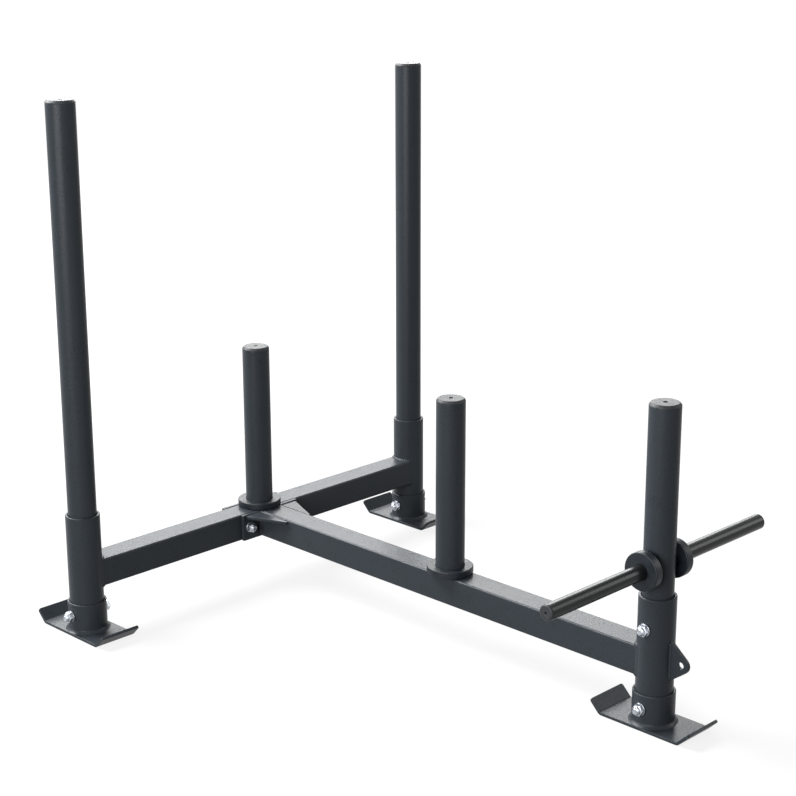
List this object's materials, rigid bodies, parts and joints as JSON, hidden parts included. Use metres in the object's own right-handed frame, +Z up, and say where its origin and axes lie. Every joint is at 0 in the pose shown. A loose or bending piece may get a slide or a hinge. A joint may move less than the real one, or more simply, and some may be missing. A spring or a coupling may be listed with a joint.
{
  "type": "push sled",
  "caption": "Three-skid strength-training push sled with lift-out push poles, upright weight horns, a cross bar for small-bore plates and a towing lug.",
  "frame": {"origin": "on the floor, halfway between the axis of the push poles and the axis of the front weight horn, on the sled's centre line", "axes": "+Z up; the front of the sled, with the towing lug, faces -Y; +X runs across the sled, from the left push pole to the right one"},
  "size_m": [0.8961, 1.1216, 0.927],
  "materials": {
    "powder_coat": "satin charcoal-black powder coat with a faint orange peel",
    "bar_paint": "semi-gloss black paint on a drawn tube",
    "zinc_plate": "bright zinc plate on hex bolts, lock nuts and washers",
    "end_cap_plastic": "satin moulded black plastic",
    "ring_rubber": "smooth black rubber"
  },
  "bodies": {
    "frame": {"cross_beam": "powder_coat", "main_beam": "powder_coat", "left_sleeve": "powder_coat", "right_sleeve": "powder_coat", "front_sleeve": "powder_coat", "front_clamp_plate": "powder_coat", "rear_clamp_plate": "powder_coat", "left_gusset": "powder_coat", "right_gusset": "powder_coat", "tow_lug": "powder_coat", "left_skid_plate": "powder_coat", "left_skid_socket": "powder_coat", "right_skid_plate": "powder_coat", "right_skid_socket": "powder_coat", "front_skid_plate": "powder_coat", "front_skid_socket": "powder_coat", "rear_horn": "powder_coat", "rear_horn_cap": "end_cap_plastic", "middle_horn": "powder_coat", "middle_horn_cap": "end_cap_plastic", "front_horn": "powder_coat", "front_horn_cap": "end_cap_plastic", "rear_horn_ring": "ring_rubber", "middle_horn_ring": "ring_rubber", "side_bar": "bar_paint", "left_bar_ring": "ring_rubber", "left_bar_cap": "end_cap_plastic", "right_bar_ring": "ring_rubber", "right_bar_cap": "end_cap_plastic", "left_clamp_bolt": "zinc_plate", "left_clamp_head_washer": "zinc_plate", "left_clamp_nut_washer": "zinc_plate", "left_clamp_nut": "zinc_plate", "right_clamp_bolt": "zinc_plate", "right_clamp_head_washer": "zinc_plate", "right_clamp_nut_washer": "zinc_plate", "right_clamp_nut": "zinc_plate", "front_horn_bolt": "zinc_plate", "front_horn_head_washer": "zinc_plate", "front_horn_nut_washer": "zinc_plate", "front_horn_nut": "zinc_plate", "left_skid_bolt": "zinc_plate", "left_skid_head_washer": "zinc_plate", "left_skid_nut_washer": "zinc_plate", "left_skid_nut": "zinc_plate", "right_skid_bolt": "zinc_plate", "right_skid_head_washer": "zinc_plate", "right_skid_nut_washer": "zinc_plate", "right_skid_nut": "zinc_plate", "front_skid_bolt": "zinc_plate", "front_skid_head_washer": "zinc_plate", "front_skid_nut_washer": "zinc_plate", "front_skid_nut": "zinc_plate"},
    "left_push_pole": {"left_push_pole": "powder_coat", "left_push_pole_cap": "end_cap_plastic"},
    "right_push_pole": {"right_push_pole": "powder_coat", "right_push_pole_cap": "end_cap_plastic"}
  },
  "joints": [
    {"name": "left_push_pole_lift", "type": "slide", "parent": "frame", "child": "left_push_pole", "axis": [0, 0, 1], "range_m": [0, 0.18]},
    {"name": "right_push_pole_lift", "type": "slide", "parent": "frame", "child": "right_push_pole", "axis": [0, 0, 1], "range_m": [0, 0.18]}
  ]
}
